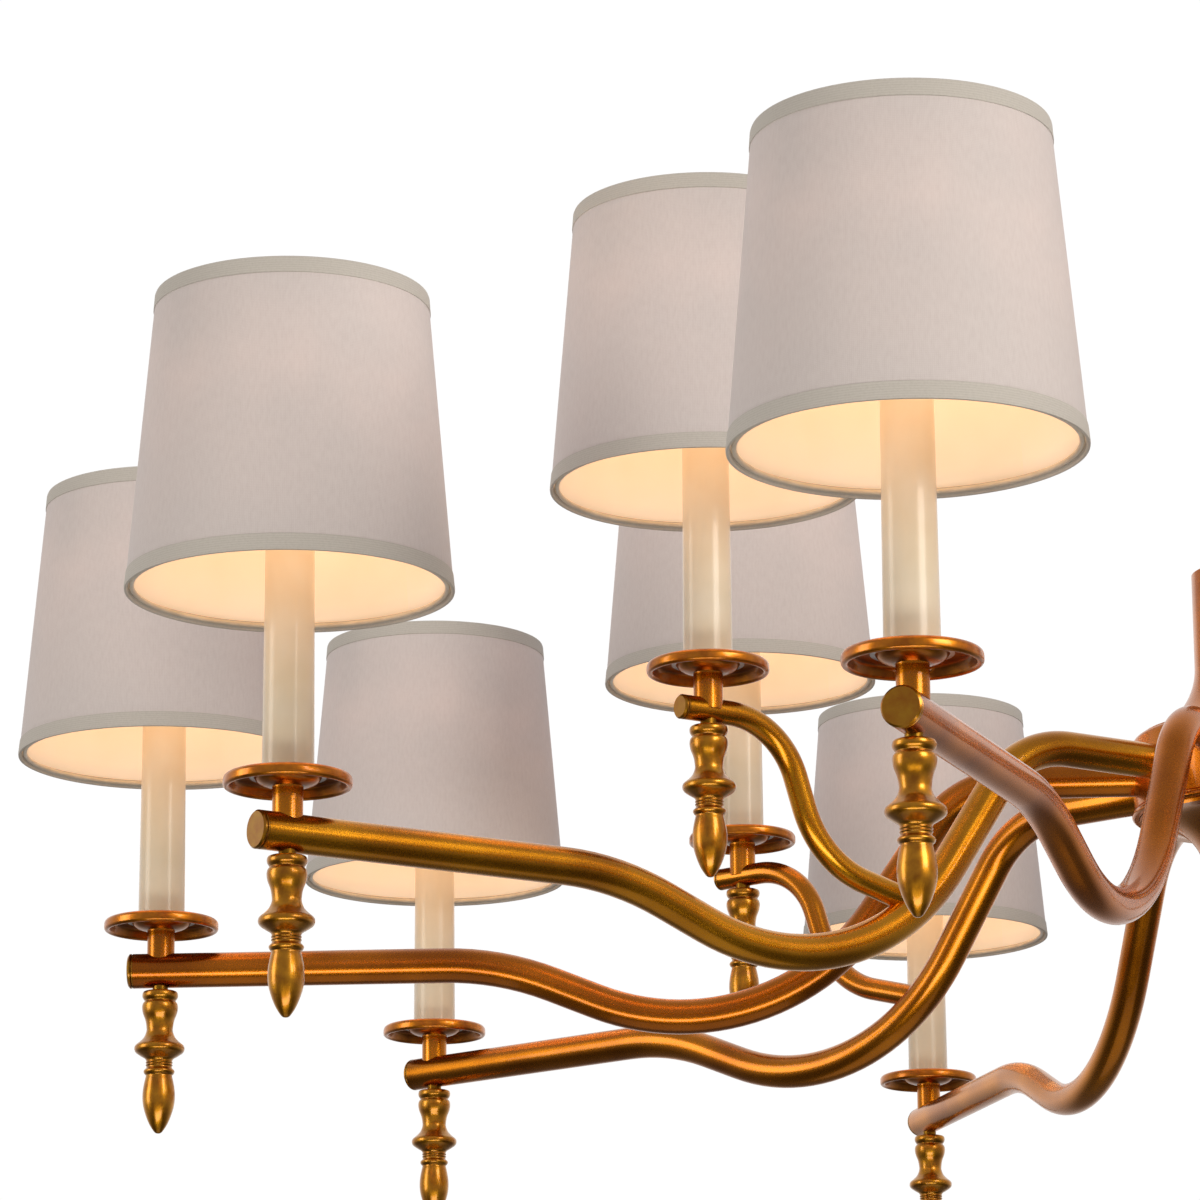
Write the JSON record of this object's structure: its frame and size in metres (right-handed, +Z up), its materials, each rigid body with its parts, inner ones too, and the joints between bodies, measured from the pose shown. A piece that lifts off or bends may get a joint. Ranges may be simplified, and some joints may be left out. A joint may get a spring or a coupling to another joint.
{
  "type": "multi arm chandelier",
  "caption": "Hanging ring of bent tube arms, every second one forked, each end carrying a candle lamp with a tapered fabric shade.",
  "frame": {"origin": "centre of the hanging eye at the top of the loop", "axes": "+Z up along the centre pipe; +Y along the hanging eye, square to the loop; +X across the loop, along a forked arm"},
  "size_m": [1.2964, 1.2404, 0.4219],
  "materials": {
    "gilt_metal": "antique gold lacquer, glossy",
    "turned_brass": "lacquered with dark patina in the grooves",
    "bare_steel": "zinc plated",
    "socket_plastic": "moulded, matt",
    "candle_plastic": "ivory, semi-gloss",
    "shade_fabric": "off-white linen with cream trim",
    "bulb_glass": "frosted, lit warm"
  },
  "bodies": {
    "fixed_frame": {"hang_loop": "gilt_metal", "column_cap": "gilt_metal", "column": "gilt_metal", "hub_drum": "gilt_metal", "lower_bell": "gilt_metal", "bottom_finial": "turned_brass", "centre_pipe": "bare_steel", "lock_nuts": "bare_steel", "end_plugs": "gilt_metal", "lamp_stems": "bare_steel", "necks": "gilt_metal", "drip_cups": "gilt_metal", "lamp_sockets": "socket_plastic", "candle_sleeves": "candle_plastic", "finials": "turned_brass", "main_arm_1": "gilt_metal", "main_arm_2": "gilt_metal", "main_arm_3": "gilt_metal", "main_arm_4": "gilt_metal", "main_arm_5": "gilt_metal", "main_arm_6": "gilt_metal", "main_arm_7": "gilt_metal", "main_arm_8": "gilt_metal", "main_arm_9": "gilt_metal", "main_arm_10": "gilt_metal", "branch_arm_1": "gilt_metal", "branch_arm_2": "gilt_metal", "branch_arm_3": "gilt_metal", "branch_arm_4": "gilt_metal", "branch_arm_5": "gilt_metal"},
    "bulb_body_1": {"bulb_1": "bulb_glass"},
    "shade_body_1": {"shade_1": "shade_fabric"},
    "bulb_body_2": {"bulb_2": "bulb_glass"},
    "shade_body_2": {"shade_2": "shade_fabric"},
    "bulb_body_3": {"bulb_3": "bulb_glass"},
    "shade_body_3": {"shade_3": "shade_fabric"},
    "bulb_body_4": {"bulb_4": "bulb_glass"},
    "shade_body_4": {"shade_4": "shade_fabric"},
    "bulb_body_5": {"bulb_5": "bulb_glass"},
    "shade_body_5": {"shade_5": "shade_fabric"},
    "bulb_body_6": {"bulb_6": "bulb_glass"},
    "shade_body_6": {"shade_6": "shade_fabric"},
    "bulb_body_7": {"bulb_7": "bulb_glass"},
    "shade_body_7": {"shade_7": "shade_fabric"},
    "bulb_body_8": {"bulb_8": "bulb_glass"},
    "shade_body_8": {"shade_8": "shade_fabric"},
    "bulb_body_9": {"bulb_9": "bulb_glass"},
    "shade_body_9": {"shade_9": "shade_fabric"},
    "bulb_body_10": {"bulb_10": "bulb_glass"},
    "shade_body_10": {"shade_10": "shade_fabric"},
    "bulb_body_11": {"bulb_11": "bulb_glass"},
    "shade_body_11": {"shade_11": "shade_fabric"},
    "bulb_body_12": {"bulb_12": "bulb_glass"},
    "shade_body_12": {"shade_12": "shade_fabric"},
    "bulb_body_13": {"bulb_13": "bulb_glass"},
    "shade_body_13": {"shade_13": "shade_fabric"},
    "bulb_body_14": {"bulb_14": "bulb_glass"},
    "shade_body_14": {"shade_14": "shade_fabric"},
    "bulb_body_15": {"bulb_15": "bulb_glass"},
    "shade_body_15": {"shade_15": "shade_fabric"}
  },
  "joints": [
    {"name": "bulb_1_lift", "type": "slide", "parent": "fixed_frame", "child": "bulb_body_1", "axis": [0, 0, 1], "range_m": [0, 0.03]},
    {"name": "shade_1_lift", "type": "slide", "parent": "bulb_body_1", "child": "shade_body_1", "axis": [0, 0, 1], "range_m": [0, 0.16]},
    {"name": "bulb_2_lift", "type": "slide", "parent": "fixed_frame", "child": "bulb_body_2", "axis": [0, 0, 1], "range_m": [0, 0.03]},
    {"name": "shade_2_lift", "type": "slide", "parent": "bulb_body_2", "child": "shade_body_2", "axis": [0, 0, 1], "range_m": [0, 0.16]},
    {"name": "bulb_3_lift", "type": "slide", "parent": "fixed_frame", "child": "bulb_body_3", "axis": [0, 0, 1], "range_m": [0, 0.03]},
    {"name": "shade_3_lift", "type": "slide", "parent": "bulb_body_3", "child": "shade_body_3", "axis": [0, 0, 1], "range_m": [0, 0.16]},
    {"name": "bulb_4_lift", "type": "slide", "parent": "fixed_frame", "child": "bulb_body_4", "axis": [0, 0, 1], "range_m": [0, 0.03]},
    {"name": "shade_4_lift", "type": "slide", "parent": "bulb_body_4", "child": "shade_body_4", "axis": [0, 0, 1], "range_m": [0, 0.16]},
    {"name": "bulb_5_lift", "type": "slide", "parent": "fixed_frame", "child": "bulb_body_5", "axis": [0, 0, 1], "range_m": [0, 0.03]},
    {"name": "shade_5_lift", "type": "slide", "parent": "bulb_body_5", "child": "shade_body_5", "axis": [0, 0, 1], "range_m": [0, 0.16]},
    {"name": "bulb_6_lift", "type": "slide", "parent": "fixed_frame", "child": "bulb_body_6", "axis": [0, 0, 1], "range_m": [0, 0.03]},
    {"name": "shade_6_lift", "type": "slide", "parent": "bulb_body_6", "child": "shade_body_6", "axis": [0, 0, 1], "range_m": [0, 0.16]},
    {"name": "bulb_7_lift", "type": "slide", "parent": "fixed_frame", "child": "bulb_body_7", "axis": [0, 0, 1], "range_m": [0, 0.03]},
    {"name": "shade_7_lift", "type": "slide", "parent": "bulb_body_7", "child": "shade_body_7", "axis": [0, 0, 1], "range_m": [0, 0.16]},
    {"name": "bulb_8_lift", "type": "slide", "parent": "fixed_frame", "child": "bulb_body_8", "axis": [0, 0, 1], "range_m": [0, 0.03]},
    {"name": "shade_8_lift", "type": "slide", "parent": "bulb_body_8", "child": "shade_body_8", "axis": [0, 0, 1], "range_m": [0, 0.16]},
    {"name": "bulb_9_lift", "type": "slide", "parent": "fixed_frame", "child": "bulb_body_9", "axis": [0, 0, 1], "range_m": [0, 0.03]},
    {"name": "shade_9_lift", "type": "slide", "parent": "bulb_body_9", "child": "shade_body_9", "axis": [0, 0, 1], "range_m": [0, 0.16]},
    {"name": "bulb_10_lift", "type": "slide", "parent": "fixed_frame", "child": "bulb_body_10", "axis": [0, 0, 1], "range_m": [0, 0.03]},
    {"name": "shade_10_lift", "type": "slide", "parent": "bulb_body_10", "child": "shade_body_10", "axis": [0, 0, 1], "range_m": [0, 0.16]},
    {"name": "bulb_11_lift", "type": "slide", "parent": "fixed_frame", "child": "bulb_body_11", "axis": [0, 0, 1], "range_m": [0, 0.03]},
    {"name": "shade_11_lift", "type": "slide", "parent": "bulb_body_11", "child": "shade_body_11", "axis": [0, 0, 1], "range_m": [0, 0.16]},
    {"name": "bulb_12_lift", "type": "slide", "parent": "fixed_frame", "child": "bulb_body_12", "axis": [0, 0, 1], "range_m": [0, 0.03]},
    {"name": "shade_12_lift", "type": "slide", "parent": "bulb_body_12", "child": "shade_body_12", "axis": [0, 0, 1], "range_m": [0, 0.16]},
    {"name": "bulb_13_lift", "type": "slide", "parent": "fixed_frame", "child": "bulb_body_13", "axis": [0, 0, 1], "range_m": [0, 0.03]},
    {"name": "shade_13_lift", "type": "slide", "parent": "bulb_body_13", "child": "shade_body_13", "axis": [0, 0, 1], "range_m": [0, 0.16]},
    {"name": "bulb_14_lift", "type": "slide", "parent": "fixed_frame", "child": "bulb_body_14", "axis": [0, 0, 1], "range_m": [0, 0.03]},
    {"name": "shade_14_lift", "type": "slide", "parent": "bulb_body_14", "child": "shade_body_14", "axis": [0, 0, 1], "range_m": [0, 0.16]},
    {"name": "bulb_15_lift", "type": "slide", "parent": "fixed_frame", "child": "bulb_body_15", "axis": [0, 0, 1], "range_m": [0, 0.03]},
    {"name": "shade_15_lift", "type": "slide", "parent": "bulb_body_15", "child": "shade_body_15", "axis": [0, 0, 1], "range_m": [0, 0.16]}
  ]
}
